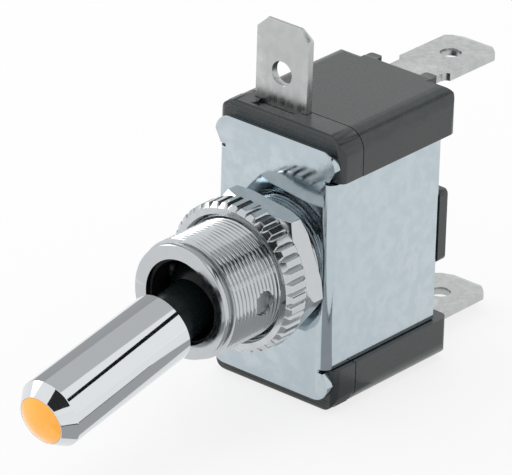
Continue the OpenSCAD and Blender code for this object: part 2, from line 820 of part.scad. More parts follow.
// A bevelled blade that stands on z = 0, with its thickness from y = 0 to blade_t
module blade(length, hole_in, hole_r, corner) {
    tip_t = blade_t * 0.4;
    half = blade_w / 2;
    intersection() {
        along_y(0, blade_t) difference() {
            polygon([
                [-half, 0], [half, 0], [half, length - corner],
                [half - corner, length], [corner - half, length], [-half, length - corner]
            ]);
            translate([0, length - hole_in]) circle(hole_r);
        }
        along_x(-half, half) polygon([
            [0, 0], [blade_t, 0], [blade_t, length - blade_bevel],
            [(blade_t + tip_t) / 2, length], [(blade_t - tip_t) / 2, length],
            [0, length - blade_bevel]
        ]);
    }
}

module front_terminal() {
    foot_half = front_foot_w / 2;
    color(tinned) {
        translate([front_x, front_tab_y, front_foot_z]) 
            blade(front_tip_z - front_foot_z, front_hole_in, front_hole_r, front_corner);
        // foot turned forward to the back of the plate
        span_box(
            [front_x - foot_half, plate_back_y + press_gap, front_foot_z],
            [front_x + foot_half, front_tab_y + 0.1, front_foot_z + blade_t]
        );
    }
}

// A rear terminal: blade and neck outside, bent leg inside, drawn for the upper side
module rear_terminal(z_mid, leg_low) {
    shoulder_y = housing_back_y + neck_len;
    tip_y = housing_back_y + rear_out;
    notch_r = 0.55;
    half_t = blade_t / 2;
    difference() {
        union() {
            translate([rear_x, shoulder_y, z_mid + half_t]) rotate([-90, 0, 0])
                blade(tip_y - shoulder_y, rear_hole_in, rear_hole_r, rear_corner);
            // neck and the leg's bend
            span_box(
                [rear_x - neck_w / 2, terminal_leg_y + blade_t, z_mid - half_t],
                [rear_x + neck_w / 2, shoulder_y + 0.1, z_mid + half_t]
            );
            translate([rear_x - neck_w / 2, terminal_leg_y + blade_t, z_mid - half_t]) rotate([0, 90, 0])
                intersection() {
                    cylinder(r = blade_t, h = neck_w);
                    translate([-blade_t, -blade_t, 0]) cube([blade_t, blade_t, neck_w]);
                }
            span_box(
                [rear_x - neck_w / 2, terminal_leg_y, leg_low],
                [rear_x + neck_w / 2, terminal_leg_y + blade_t, z_mid - half_t]
            );
        }
        // half-round notches where the blade meets the neck
        for (s = [-1, 1])
            translate([rear_x + s * blade_w / 2, shoulder_y, z_mid - blade_t]) cylinder(r = notch_r, h = 2 * blade_t);
    }
}

module rear_upper_terminal() {
    color(tinned) difference() {
        rear_terminal(upper_z, fixed_contact_z() - contact_r - 0.6);
        translate([0, 0, fixed_contact_z()]) bar(contact_r * 0.5 + press_gap, terminal_leg_y - 1, cavity_back_y);
    }
}

module rear_lower_terminal() {
    color(tinned) difference() {
        mirror([0, 0, 1]) rear_terminal(lower_z, -2);
        bar(rivet_r + fit_gap, terminal_leg_y - 1, cavity_back_y + 1);
    }
}

module fixed_contact() {
    face_y = rocker_y + contact_rear * cos(rocker_tilt) + contact_z * sin(rocker_tilt)
        + contact_r * sin(rocker_tilt) + fit_gap;
    color(silver_tone) translate([0, 0, fixed_contact_z()]) {
        bar(contact_r, face_y, terminal_leg_y - press_gap);
        bar(contact_r * 0.5, face_y + 0.1, terminal_leg_y + blade_t + 0.1);
        bar(contact_r * 0.8, terminal_leg_y + blade_t + press_gap, terminal_leg_y + blade_t + 0.3);
    }
}

frame_bracket();
bushing();
bore_liner();
pivot_pins();
front_cover();
housing();
hex_nut();
knurled_nut();
lever_handle();
lever_lens();
lever_stem();
lamp();
lamp_resistor();
lamp_lead();
plunger();
plunger_spring();
rocker_contact();
moving_contact();
rocker_cradle();
cradle_rivet();
front_terminal();
rear_upper_terminal();
rear_lower_terminal();
fixed_contact();
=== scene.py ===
"""Looks of an illuminated panel toggle switch, dressed around its packed construction frame.

Every length is in metres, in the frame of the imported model: the bushing's axis is Y, the lever
points along -Y and the terminals lie behind and above.
"""

import json
import logging
import math
from dataclasses import dataclass, field
from enum import Enum
from typing import Callable, Optional, Sequence

import bmesh
import bpy
from mathutils import Matrix, Vector


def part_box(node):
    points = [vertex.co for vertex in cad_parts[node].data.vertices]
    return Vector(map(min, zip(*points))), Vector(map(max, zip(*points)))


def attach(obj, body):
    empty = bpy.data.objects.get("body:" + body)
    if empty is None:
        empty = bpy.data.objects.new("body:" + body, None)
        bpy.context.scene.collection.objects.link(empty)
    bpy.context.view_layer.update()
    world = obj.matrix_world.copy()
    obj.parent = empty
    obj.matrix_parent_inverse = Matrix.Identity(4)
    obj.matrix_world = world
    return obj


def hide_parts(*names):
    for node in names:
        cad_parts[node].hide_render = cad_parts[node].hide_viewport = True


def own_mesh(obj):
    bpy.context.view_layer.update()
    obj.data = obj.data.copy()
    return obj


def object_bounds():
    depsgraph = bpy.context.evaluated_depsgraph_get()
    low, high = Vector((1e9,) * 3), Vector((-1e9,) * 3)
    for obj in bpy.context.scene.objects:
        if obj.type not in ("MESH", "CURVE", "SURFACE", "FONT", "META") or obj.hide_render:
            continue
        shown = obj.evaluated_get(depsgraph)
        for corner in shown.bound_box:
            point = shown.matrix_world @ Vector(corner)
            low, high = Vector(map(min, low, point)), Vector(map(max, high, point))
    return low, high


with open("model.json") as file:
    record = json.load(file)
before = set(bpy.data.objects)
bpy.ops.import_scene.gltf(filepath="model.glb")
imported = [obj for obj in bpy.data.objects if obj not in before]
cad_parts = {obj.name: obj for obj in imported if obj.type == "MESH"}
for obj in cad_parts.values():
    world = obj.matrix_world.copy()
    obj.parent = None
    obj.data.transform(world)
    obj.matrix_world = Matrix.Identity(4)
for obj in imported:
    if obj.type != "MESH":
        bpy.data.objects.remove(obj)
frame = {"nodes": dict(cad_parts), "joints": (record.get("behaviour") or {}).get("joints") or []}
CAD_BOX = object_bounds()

MM = 0.001
LOG = logging.getLogger("toggle_switch")
NODES = frame["nodes"]


class Slot(Enum):
    """Material slots of the record that the pieces take their finish from."""

    PLATED_STEEL = "plated_steel"
    PLATED_METAL = "plated_metal"
    LEVER_CHROME = "lever_chrome"
    PIN_STEEL = "pin_steel"
    SPRING_STEEL = "spring_steel"
    TINNED_METAL = "tinned_metal"
    BLACK_MOULDING = "black_moulding"
    LINER_AND_PAINTED_SHADE = "black_liner"
    BLACK_STEM = "black_stem"
    AMBER_LENS = "amber_lens"
    LAMP_RESIN = "lamp_resin"
    RESISTOR_BODY = "resistor_body"
    CONTACT_BRASS = "contact_brass"
    CONTACT_SILVER = "contact_silver"


class Body(Enum):
    """Bodies of the construction that a piece can ride on."""

    SWITCH = "switch_body"
    LEVER = "lever"
    PANEL_NUT = "panel_nut"


# ---- measuring the frame ----


def joint_named(name: str) -> dict:
    """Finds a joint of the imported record.

    Args:
        name: the joint's name.

    Returns:
        The joint's row.
    """
    return next(j for j in frame["joints"] if j["name"] == name)


@dataclass(frozen=True)
class Axis:
    """A line that a turned piece is built about.

    Args:
        origin: a point on the line.
        along: the line's direction.
        side: a direction across the line, where the angle is 0.
    """

    origin: Vector
    along: Vector
    side: Vector = Vector((1, 0, 0))

    def point(self, radius: float, angle: float, station: float) -> Vector:
        """Places a point about the line.

        Args:
            radius: its distance from the line.
            angle: its angle from the side direction, in radians.
            station: its distance along the line.

        Returns:
            The point.
        """
        across = self.along.cross(self.side)
        return (
            self.origin
            + self.along * station
            + (self.side * math.cos(angle) + across * math.sin(angle)) * radius
        )

    def reach(self, node: str) -> tuple[float, float, float]:
        """Measures a node about this line.

        Args:
            node: name of a construction node.

        Returns:
            The lowest and highest station along the line, and the largest radius.
        """
        offsets = [v.co - self.origin for v in NODES[node].data.vertices]
        stations = [o.dot(self.along) for o in offsets]
        radii = [(o - self.along * s).length for o, s in zip(offsets, stations)]
        return min(stations), max(stations), max(radii)


BUSHING_AXIS = Axis(Vector((0, 0, 0)), Vector((0, 1, 0)))
LEVER_AXIS = Axis(
    Vector(joint_named("lever_toggle")["pos_m"]),
    Vector(joint_named("plunger_slide")["axis"]).normalized(),
)


# ---- shared effects of the finishes ----


def group_socket(
    group: bpy.types.NodeTree, name: str, kind: str, way: str = "INPUT", value: object = None
) -> None:
    """Adds a socket to a node group.

    Args:
        group: the node group.
        name: the socket's name.
        kind: the socket's type, such as NodeSocketFloat.
        way: INPUT or OUTPUT.
        value: default value of an input.
    """
    socket = group.interface.new_socket(name=name, in_out=way, socket_type=kind)
    if value is not None:
        socket.default_value = value


class Nodes:
    """A short way to place nodes in one node tree."""

    def __init__(self, tree: bpy.types.NodeTree) -> None:
        """Keeps the tree that the nodes go into."""
        self.tree = tree

    def add(self, kind: str, inputs: Optional[dict] = None, **settings: object) -> bpy.types.Node:
        """Adds a node, sets its properties and fills its inputs.

        Args:
            kind: the node's type name.
            inputs: values or output sockets for the inputs, by name or place.
            settings: properties of the node.

        Returns:
            The new node.
        """
        node = self.tree.nodes.new(kind)
        for key, value in settings.items():
            setattr(node, key, value)
        self.fill(node, inputs or {})
        return node

    def fill(self, node: bpy.types.Node, inputs: dict) -> None:
        """Fills a node's inputs.

        Args:
            node: the node.
            inputs: values or output sockets for the inputs, by name or place.
        """
        for key, value in inputs.items():
            if isinstance(value, bpy.types.NodeSocket):
                self.tree.links.new(value, node.inputs[key])
            else:
                node.inputs[key].default_value = value

    def math(self, operation: str, *values: object) -> bpy.types.NodeSocket:
        """Adds a math node and returns its result."""
        return self.add("ShaderNodeMath", dict(enumerate(values)), operation=operation).outputs[0]

    def mix(self, share: object, first: object, second: object) -> bpy.types.NodeSocket:
        """Mixes two colours by a share and returns the colour."""
        node = self.add("ShaderNodeMix", {0: share, 6: first, 7: second}, data_type="RGBA")
        return node.outputs[2]

    def spread(
        self, value: bpy.types.NodeSocket, low: float, high: float, to_low: object, to_high: object
    ) -> bpy.types.NodeSocket:
        """Maps a value's range softly onto another one.

        Args:
            value: the socket to map.
            low: start of its range.
            high: end of its range.
            to_low: what the start becomes.
            to_high: what the end becomes.

        Returns:
            The socket with the result.
        """
        ends = {"Value": value, "From Min": low, "From Max": high, "To Min": to_low, "To Max": to_high}
        return self.add("ShaderNodeMapRange", ends, interpolation_type="SMOOTHSTEP").outputs[0]


class Effects:
    """The node groups that several finishes share, each built once."""

    # Each band gives the values between which an effect fades in, and scales are in cells a metre.
    GRAIN_BAND = (0.3, 0.7)
    EDGE_BAND = (0.51, 0.6)
    PATCH_SCALE = 900.0
    PATCH_BAND = (0.35, 0.65)
    PATCH_LEAST = 0.25
    CLOUD_SCALE = 160.0
    CLOUD_TWIST = 0.6
    CLOUD_BAND = (0.4, 0.7)

    def __init__(self) -> None:
        """Builds the three groups."""
        self.grain = self._grain()
        self.wear = self._wear()
        self.film = self._film()

    def _open(self, name: str) -> tuple[bpy.types.NodeTree, Nodes, bpy.types.Node]:
        """Starts a group with a vector input.

        Args:
            name: the group's name.

        Returns:
            The group, its node placer and its input node.
        """
        group = bpy.data.node_groups.new(name, "ShaderNodeTree")
        group_socket(group, "Place", "NodeSocketVector")
        return group, Nodes(group), group.nodes.new("NodeGroupInput")

    def _grain(self) -> bpy.types.NodeTree:
        """Fine drawn or moulded grain: a roughness that changes and a height.

        Returns:
            The node group.
        """
        group, nodes, entry = self._open("fine_grain")
        group_socket(group, "Stretch", "NodeSocketVector", value=(1, 1, 1))
        group_socket(group, "Scale", "NodeSocketFloat", value=2000.0)
        group_socket(group, "Smooth", "NodeSocketFloat", value=0.1)
        group_socket(group, "Rough", "NodeSocketFloat", value=0.3)
        group_socket(group, "Roughness", "NodeSocketFloat", "OUTPUT")
        group_socket(group, "Height", "NodeSocketFloat", "OUTPUT")
        place = nodes.add(
            "ShaderNodeVectorMath", {0: entry.outputs["Place"], 1: entry.outputs["Stretch"]},
            operation="MULTIPLY",
        ).outputs[0]
        noise = nodes.add(
            "ShaderNodeTexNoise",
            {"Vector": place, "Scale": entry.outputs["Scale"], "Detail": 4.0, "Roughness": 0.6},
        ).outputs[0]
        rough = nodes.spread(noise, *self.GRAIN_BAND, entry.outputs["Smooth"], entry.outputs["Rough"])
        nodes.add("NodeGroupOutput", {"Roughness": rough, "Height": noise})
        return group

    def _wear(self) -> bpy.types.NodeTree:
        """Edges that handling has rubbed to another colour.

        Returns:
            The node group.
        """
        group, nodes, entry = self._open("rubbed_edges")
        group_socket(group, "Base", "NodeSocketColor", value=(0.5, 0.5, 0.5, 1))
        group_socket(group, "Rubbed", "NodeSocketColor", value=(0.8, 0.8, 0.8, 1))
        group_socket(group, "Amount", "NodeSocketFloat", value=0.5)
        group_socket(group, "Color", "NodeSocketColor", "OUTPUT")
        group_socket(group, "Mask", "NodeSocketFloat", "OUTPUT")
        pointed = nodes.add("ShaderNodeNewGeometry").outputs["Pointiness"]
        edge = nodes.spread(pointed, *self.EDGE_BAND, 0.0, 1.0)
        broken = nodes.add(
            "ShaderNodeTexNoise",
            {"Vector": entry.outputs["Place"], "Scale": self.PATCH_SCALE, "Detail": 3.0},
        ).outputs[0]
        patchy = nodes.spread(broken, *self.PATCH_BAND, self.PATCH_LEAST, 1.0)
        mask = nodes.math("MULTIPLY", nodes.math("MULTIPLY", edge, patchy), entry.outputs["Amount"])
        colour = nodes.mix(mask, entry.outputs["Base"], entry.outputs["Rubbed"])
        nodes.add("NodeGroupOutput", {"Color": colour, "Mask": mask})
        return group

    def _film(self) -> bpy.types.NodeTree:
        """A faint uneven film from handling, which dulls and tints a surface in clouds.

        Returns:
            The node group.
        """
        group, nodes, entry = self._open("handling_film")
        group_socket(group, "Base", "NodeSocketColor", value=(0.5, 0.5, 0.5, 1))
        group_socket(group, "Film", "NodeSocketColor", value=(0.5, 0.5, 0.5, 1))
        group_socket(group, "Amount", "NodeSocketFloat", value=0.2)
        group_socket(group, "Color", "NodeSocketColor", "OUTPUT")
        group_socket(group, "Mask", "NodeSocketFloat", "OUTPUT")
        clouds = nodes.add(
            "ShaderNodeTexNoise",
            {
                "Vector": entry.outputs["Place"], "Scale": self.CLOUD_SCALE, "Detail": 5.0,
                "Distortion": self.CLOUD_TWIST,
            },
        ).outputs[0]
        patches = nodes.spread(clouds, *self.CLOUD_BAND, 0.0, 1.0)
        mask = nodes.math("MULTIPLY", patches, entry.outputs["Amount"])
        colour = nodes.mix(mask, entry.outputs["Base"], entry.outputs["Film"])
        nodes.add("NodeGroupOutput", {"Color": colour, "Mask": mask})
        return group


# ---- finishes ----

FILM_DULLING = 0.06  # roughness that a full handling film adds
WARM_SCATTER = (1.0, 0.5, 0.1)  # how far red, green and blue go under a warm surface
SCATTER_DEPTH = 0.6 * MM


@dataclass(frozen=True)
class Finish:
    """One procedural finish.

    Args:
        slot: the record's slot that it stands for.
        colour: linear base colour.
        rubbed: colour of rubbed edges.
        film: colour of the handling film.
        metallic: 1 for bare metal.
        smooth: lowest roughness of the grain.
        rough: highest roughness of the grain.
        grain: grain scale in cells a metre.
        stretch: how the grain is drawn out along X, Y and Z.
        height_mm: height of the grain's relief in millimetres.
        wear: strength of the rubbed edges.
        haze: strength of the handling film.
        specular: specular level of the bare surface.
        coat: weight of a clear coat.
        glow: strength of a painted glow, light that the surface gives off though it is no lamp.
        subsurface: share of light that passes under the surface.
    """

    slot: Slot
    colour: tuple[float, float, float]
    rubbed: tuple[float, float, float]
    film: tuple[float, float, float]
    metallic: float = 1.0
    smooth: float = 0.08
    rough: float = 0.16
    grain: float = 1500.0
    stretch: tuple[float, float, float] = (1.0, 1.0, 1.0)
    height_mm: float = 0.001
    wear: float = 0.4
    haze: float = 0.2
    specular: float = 0.5
    coat: float = 0.0
    glow: float = 0.0
    subsurface: float = 0.0

    def base(self, nodes: Nodes, place: bpy.types.NodeSocket) -> object:
        """The base colour before wear, which banded finishes replace."""
        return (*self.colour, 1.0)

    def build(self, effects: Effects) -> bpy.types.Material:
        """Builds the material.

        Args:
            effects: the shared node groups.

        Returns:
            The new material.
        """
        material = bpy.data.materials.new(f"finish_{self.slot.value}")
        material.use_nodes = True
        tree = material.node_tree
        nodes = Nodes(tree)
        shader = tree.nodes["Principled BSDF"]
        place = nodes.add("ShaderNodeTexCoord").outputs["Object"]
        film = nodes.add(
            "ShaderNodeGroup",
            {
                "Place": place, "Base": self.base(nodes, place), "Film": (*self.film, 1.0),
                "Amount": self.haze,
            },
            node_tree=effects.film,
        )
        wear = nodes.add(
            "ShaderNodeGroup",
            {
                "Place": place, "Base": film.outputs["Color"], "Rubbed": (*self.rubbed, 1.0),
                "Amount": self.wear,
            },
            node_tree=effects.wear,
        )
        grain = nodes.add(
            "ShaderNodeGroup",
            {
                "Place": place, "Stretch": self.stretch, "Scale": self.grain,
                "Smooth": self.smooth, "Rough": self.rough,
            },
            node_tree=effects.grain,
        )
        dulled = nodes.math(
            "MULTIPLY_ADD", film.outputs["Mask"], FILM_DULLING, grain.outputs["Roughness"]
        )
        bump = nodes.add(
            "ShaderNodeBump",
            {"Height": grain.outputs["Height"], "Strength": 1.0, "Distance": self.height_mm * MM},
        )
        nodes.fill(
            shader,
            {
                "Base Color": wear.outputs["Color"], "Roughness": dulled, "Normal": bump.outputs[0],
                "Metallic": self.metallic, "Specular IOR Level": self.specular,
                "Coat Weight": self.coat,
            },
        )
        if self.subsurface:
            depth = {
                "Subsurface Weight": self.subsurface, "Subsurface Radius": WARM_SCATTER,
                "Subsurface Scale": SCATTER_DEPTH,
            }
            nodes.fill(shader, depth)
        # Painted glow: the surface gives off light in its own colour, though it is no lamp.
        if self.glow:
            light = {"Emission Color": wear.outputs["Color"], "Emission Strength": self.glow}
            nodes.fill(shader, light)
        return material


@dataclass(frozen=True)
class BandedFinish(Finish):
    """A finish with coloured rings about the lever's axis, as on a resistor.

    Args:
        bands: centre of each ring along the piece, from 0 to 1, with its colour.
        band_half: half of a ring's width, as a share of the length.
        node: the construction node that the rings are set out on.
    """

    bands: tuple[tuple[float, tuple[float, float, float]], ...] = ()
    band_half: float = 0.045
    node: str = "lamp_resistor"

    def base(self, nodes: Nodes, place: bpy.types.NodeSocket) -> object:
        """Paints the rings over the body colour.

        Args:
            nodes: places nodes in the material.
            place: a point's place on the piece.

        Returns:
            The socket with the colour.
        """
        low, high, _ = LEVER_AXIS.reach(self.node)
        offset = nodes.add("ShaderNodeVectorMath", {0: place, 1: LEVER_AXIS.origin}, operation="SUBTRACT")
        station = nodes.add(
            "ShaderNodeVectorMath", {0: offset.outputs[0], 1: LEVER_AXIS.along}, operation="DOT_PRODUCT"
        ).outputs["Value"]
        share = nodes.spread(station, low, high, 0.0, 1.0)
        share.node.interpolation_type = "LINEAR"
        colour = (*self.colour, 1.0)
        for centre, paint in self.bands:
            ring = nodes.math("COMPARE", share, centre, self.band_half)
            colour = nodes.mix(ring, colour, (*paint, 1.0))
        return colour


FINISHES = (
    Finish(
        Slot.PLATED_STEEL, (0.47, 0.545, 0.585), (0.68, 0.73, 0.76), (0.40, 0.46, 0.49),
        smooth=0.07, rough=0.13, grain=900.0, stretch=(1.0, 1.0, 0.25), height_mm=0.0001, haze=0.03,
    ),
    Finish(
        Slot.PLATED_METAL, (0.54, 0.565, 0.58), (0.82, 0.83, 0.84), (0.50, 0.52, 0.54),
        smooth=0.1, rough=0.2, grain=2600.0, stretch=(0.6, 3.0, 0.6), height_mm=0.0006, haze=0.12,
    ),
    Finish(
        Slot.LEVER_CHROME, (0.72, 0.75, 0.765), (0.88, 0.89, 0.90), (0.66, 0.69, 0.71),
        smooth=0.03, rough=0.07, grain=1200.0, stretch=(2.0, 0.3, 2.0), height_mm=0.0003, haze=0.08,
    ),
    Finish(
        Slot.PIN_STEEL, (0.26, 0.28, 0.30), (0.50, 0.51, 0.52), (0.18, 0.19, 0.20),
        smooth=0.25, rough=0.4, grain=3000.0, haze=0.3,
    ),
    Finish(
        Slot.SPRING_STEEL, (0.50, 0.51, 0.52), (0.7, 0.7, 0.71), (0.36, 0.37, 0.38),
        smooth=0.2, rough=0.35, grain=3000.0, haze=0.25,
    ),
    Finish(
        Slot.TINNED_METAL, (0.49, 0.505, 0.505), (0.80, 0.81, 0.81), (0.43, 0.44, 0.44),
        smooth=0.24, rough=0.38, grain=1800.0, stretch=(1.0, 1.0, 0.3), height_mm=0.0008, haze=0.2,
    ),
    Finish(
        Slot.BLACK_MOULDING, (0.012, 0.018, 0.019), (0.04, 0.05, 0.053), (0.02, 0.026, 0.028),
        metallic=0.0, smooth=0.2, rough=0.3, grain=4200.0, height_mm=0.0025, wear=0.35, haze=0.3,
        specular=0.7,
    ),
    # Near-black liner on the bore's wall: a real sleeve, and also painted shade, since its darkness stands
    # in for the shade deep in the bore.
    Finish(
        Slot.LINER_AND_PAINTED_SHADE, (0.006, 0.007, 0.007), (0.02, 0.02, 0.02), (0.012, 0.012, 0.012),
        metallic=0.0, smooth=0.5, rough=0.65, grain=3500.0, height_mm=0.003, specular=0.3,
    ),
    Finish(
        Slot.BLACK_STEM, (0.004, 0.007, 0.007), (0.02, 0.028, 0.028), (0.008, 0.011, 0.011),
        metallic=0.0, smooth=0.22, rough=0.34, grain=3500.0, height_mm=0.002, specular=0.22,
    ),
    # The amber lens has a painted glow, so it looks lit from within though the lamp behind it gives no
    # light.
    Finish(
        Slot.AMBER_LENS, (1.0, 0.40, 0.035), (1.0, 0.62, 0.18), (1.0, 0.47, 0.06),
        metallic=0.0, smooth=0.08, rough=0.16, grain=1500.0, height_mm=0.0008, haze=0.6, wear=0.5,
        coat=0.6, glow=0.22, subsurface=0.25,
    ),
    Finish(
        Slot.LAMP_RESIN, (1.0, 0.50, 0.12), (1.0, 0.7, 0.3), (0.95, 0.45, 0.1),
        metallic=0.0, smooth=0.06, rough=0.12, grain=1500.0, haze=0.3, coat=0.5, subsurface=0.3,
    ),
    BandedFinish(
        Slot.RESISTOR_BODY, (0.52, 0.40, 0.22), (0.66, 0.56, 0.4), (0.44, 0.34, 0.2),
        metallic=0.0, smooth=0.25, rough=0.4, grain=2500.0, haze=0.3,
        bands=(
            (0.2, (0.28, 0.03, 0.01)), (0.38, (0.45, 0.02, 0.02)),
            (0.56, (0.10, 0.03, 0.01)), (0.82, (0.48, 0.33, 0.08)),
        ),
    ),
    Finish(
        Slot.CONTACT_BRASS, (0.60, 0.40, 0.13), (0.80, 0.62, 0.30), (0.38, 0.24, 0.09),
        smooth=0.18, rough=0.32, grain=2000.0, stretch=(1.0, 0.3, 1.0), haze=0.4,
    ),
    Finish(
        Slot.CONTACT_SILVER, (0.72, 0.72, 0.70), (0.86, 0.86, 0.85), (0.52, 0.51, 0.47),
        smooth=0.18, rough=0.3, grain=2400.0, haze=0.35,
    ),
)


class FinishShop:
    """Builds every finish once and puts it on pieces."""

    def __init__(self) -> None:
        """Builds the shared effects and every material."""
        effects = Effects()
        self.materials = {finish.slot: finish.build(effects) for finish in FINISHES}

    def dress(self, piece: bpy.types.Object, slot: Slot) -> None:
        """Gives a piece one finish all over.

        Args:
            piece: the object to dress.
            slot: the finish's slot.
        """
        piece.data.materials.clear()
        piece.data.materials.append(self.materials[slot])
        for face in piece.data.polygons:
            face.material_index = 0


# ---- building meshes ----


def smooth_shade(mesh: bpy.types.Mesh, sharp_deg: float = 35.0) -> None:
    """Shades a mesh smooth, apart from edges sharper than an angle.

    Args:
        mesh: the mesh.
        sharp_deg: edges that turn more than this stay sharp.
    """
    mesh.shade_smooth()
    mesh.set_sharp_from_angle(angle=math.radians(sharp_deg))


def new_piece(name: str, mesh: bpy.types.Mesh) -> bpy.types.Object:
    """Puts a mesh into the scene as an object of its own.

    Args:
        name: the piece's name.
        mesh: its mesh.

    Returns:
        The new object.
    """
    piece = bpy.data.objects.new(name, mesh)
    bpy.context.scene.collection.objects.link(piece)
    return piece


RadiusRule = Callable[[float, float, float], float]


def turned_piece(
    name: str,
    axis: Axis,
    profile: Sequence[tuple[float, float]],
    segments: int = 128,
    rule: Optional[RadiusRule] = None,
    sharp_deg: float = 35.0,
) -> bpy.types.Object:
    """Turns a closed profile about an axis.

    Args:
        name: the piece's name.
        axis: the line that it is turned about.
        profile: radius and station of each point, in order round the section. Points on the axis
            close the form there.
        segments: faces round the axis.
        rule: gives the true radius from radius, angle and station, where the form isn't round.
        sharp_deg: edges that turn more than this stay sharp.

    Returns:
        The new object.
    """
    mesh = bpy.data.meshes.new(name)
    maker = bmesh.new()
    rings = []
    for radius, station in profile:
        if radius == 0:
            rings.append([maker.verts.new(axis.point(0, 0, station))])
            continue
        ring = []
        for i in range(segments):
            angle = 2 * math.pi * i / segments
            true_radius = rule(radius, angle, station) if rule else radius
            ring.append(maker.verts.new(axis.point(true_radius, angle, station)))
        rings.append(ring)
    closed = profile[0][0] != 0
    for k in range(len(rings) if closed else len(rings) - 1):
        first, second = rings[k], rings[(k + 1) % len(rings)]
        for i in range(segments):
            j = (i + 1) % segments
            if len(first) == 1:
                maker.faces.new((first[0], second[i], second[j]))
            elif len(second) == 1:
                maker.faces.new((first[i], second[0], first[j]))
            else:
                maker.faces.new((first[i], second[i], second[j], first[j]))
    bmesh.ops.recalc_face_normals(maker, faces=maker.faces)
    maker.to_mesh(mesh)
    maker.free()
    smooth_shade(mesh, sharp_deg)
    return new_piece(name, mesh)


def rounded(
    corner: tuple[float, float],
    before: tuple[float, float],
    after: tuple[float, float],
    radius: float,
    steps: int = 3,
) -> list[tuple[float, float]]:
    """Rounds one corner of a profile.

    Args:
        corner: the corner's radius and station.
        before: the profile's point before it.
        after: the profile's point after it.
        radius: how far from the corner the round begins.
        steps: stretches in the round.

    Returns:
        The points that take the corner's place.
    """
    c = Vector(corner)
    a = c + (Vector(before) - c).normalized() * radius
    b = c + (Vector(after) - c).normalized() * radius
    points = []
    for i in range(steps + 1):
        t = i / steps
        p = a * (1 - t) ** 2 + c * 2 * t * (1 - t) + b * t**2
        points.append((p.x, p.y))
    return points


def softened(profile: Sequence[tuple[float, float]], radius: float) -> list[tuple[float, float]]:
    """Rounds every corner of a closed profile that isn't on the axis.

    Args:
        profile: radius and station of each corner.
        radius: how far from a corner each round begins.

    Returns:
        The softened profile.
    """
    points: list[tuple[float, float]] = []
    for i, corner in enumerate(profile):
        if corner[0] == 0:
            points.append(corner)
            continue
        points += rounded(corner, profile[i - 1], profile[(i + 1) % len(profile)], radius)
    return points


def settle(piece: bpy.types.Object) -> None:
    """Applies every modifier of a piece to its mesh.

    Args:
        piece: the object.
    """
    graph = bpy.context.evaluated_depsgraph_get()
    made = bpy.data.meshes.new_from_object(piece.evaluated_get(graph))
    piece.modifiers.clear()
    piece.data = made


WELD_REACH = 0.0005 * MM
FLAT_WITHIN_DEG = 0.6


def break_edges(piece: bpy.types.Object, width: float, angle_deg: float = 30.0) -> None:
    """Gives a construction node fine broken edges that catch the light, by modifiers alone.

    Args:
        piece: the node's object.
        width: width of each broken edge.
        angle_deg: only edges that turn more than this are broken.
    """
    weld = piece.modifiers.new("weld", "WELD")
    weld.merge_threshold = WELD_REACH
    flat = piece.modifiers.new("flat_faces", "DECIMATE")
    flat.decimate_type = "DISSOLVE"
    flat.angle_limit = math.radians(FLAT_WITHIN_DEG)
    bevel = piece.modifiers.new("broken_edges", "BEVEL")
    bevel.width = width
    bevel.segments = 2
    bevel.limit_method = "ANGLE"
    bevel.angle_limit = math.radians(angle_deg)
    piece.modifiers.new("even_shading", "WEIGHTED_NORMAL")


# ---- sub-assemblies ----


@dataclass
class SubAssembly:
    """What every sub-assembly shares.

    Args:
        shop: where its pieces get their finish.
        edge: width of the broken edges on carried-over nodes.
    """

    shop: FinishShop
    edge: float = 0.07 * MM

    def carry_over(self, slot: Slot, *nodes: str, edge: Optional[float] = None) -> None:
        """Keeps construction nodes as they are and dresses them.

        Args:
            slot: their finish.
            nodes: names of the nodes.
            edge: width of their broken edges, 0 for none.
        """
        for name in nodes:
            piece = NODES[name]
            self.shop.dress(piece, slot)
            width = self.edge if edge is None else edge
            if width:
                break_edges(piece, width)
            LOG.info("carried over %s with %s", name, slot.value)

    def place(self, piece: bpy.types.Object, slot: Slot, body: Body, *stands_for: str) -> None:
        """Dresses a new piece and lets it ride.

        Args:
            piece: the new piece.
            slot: its finish.
            body: the body that it moves with.
            stands_for: construction nodes that it replaces.
        """
        self.shop.dress(piece, slot)
        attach(piece, body.value)
        if stands_for:
            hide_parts(*stands_for)
        LOG.info("built %s on %s", piece.name, body.value)


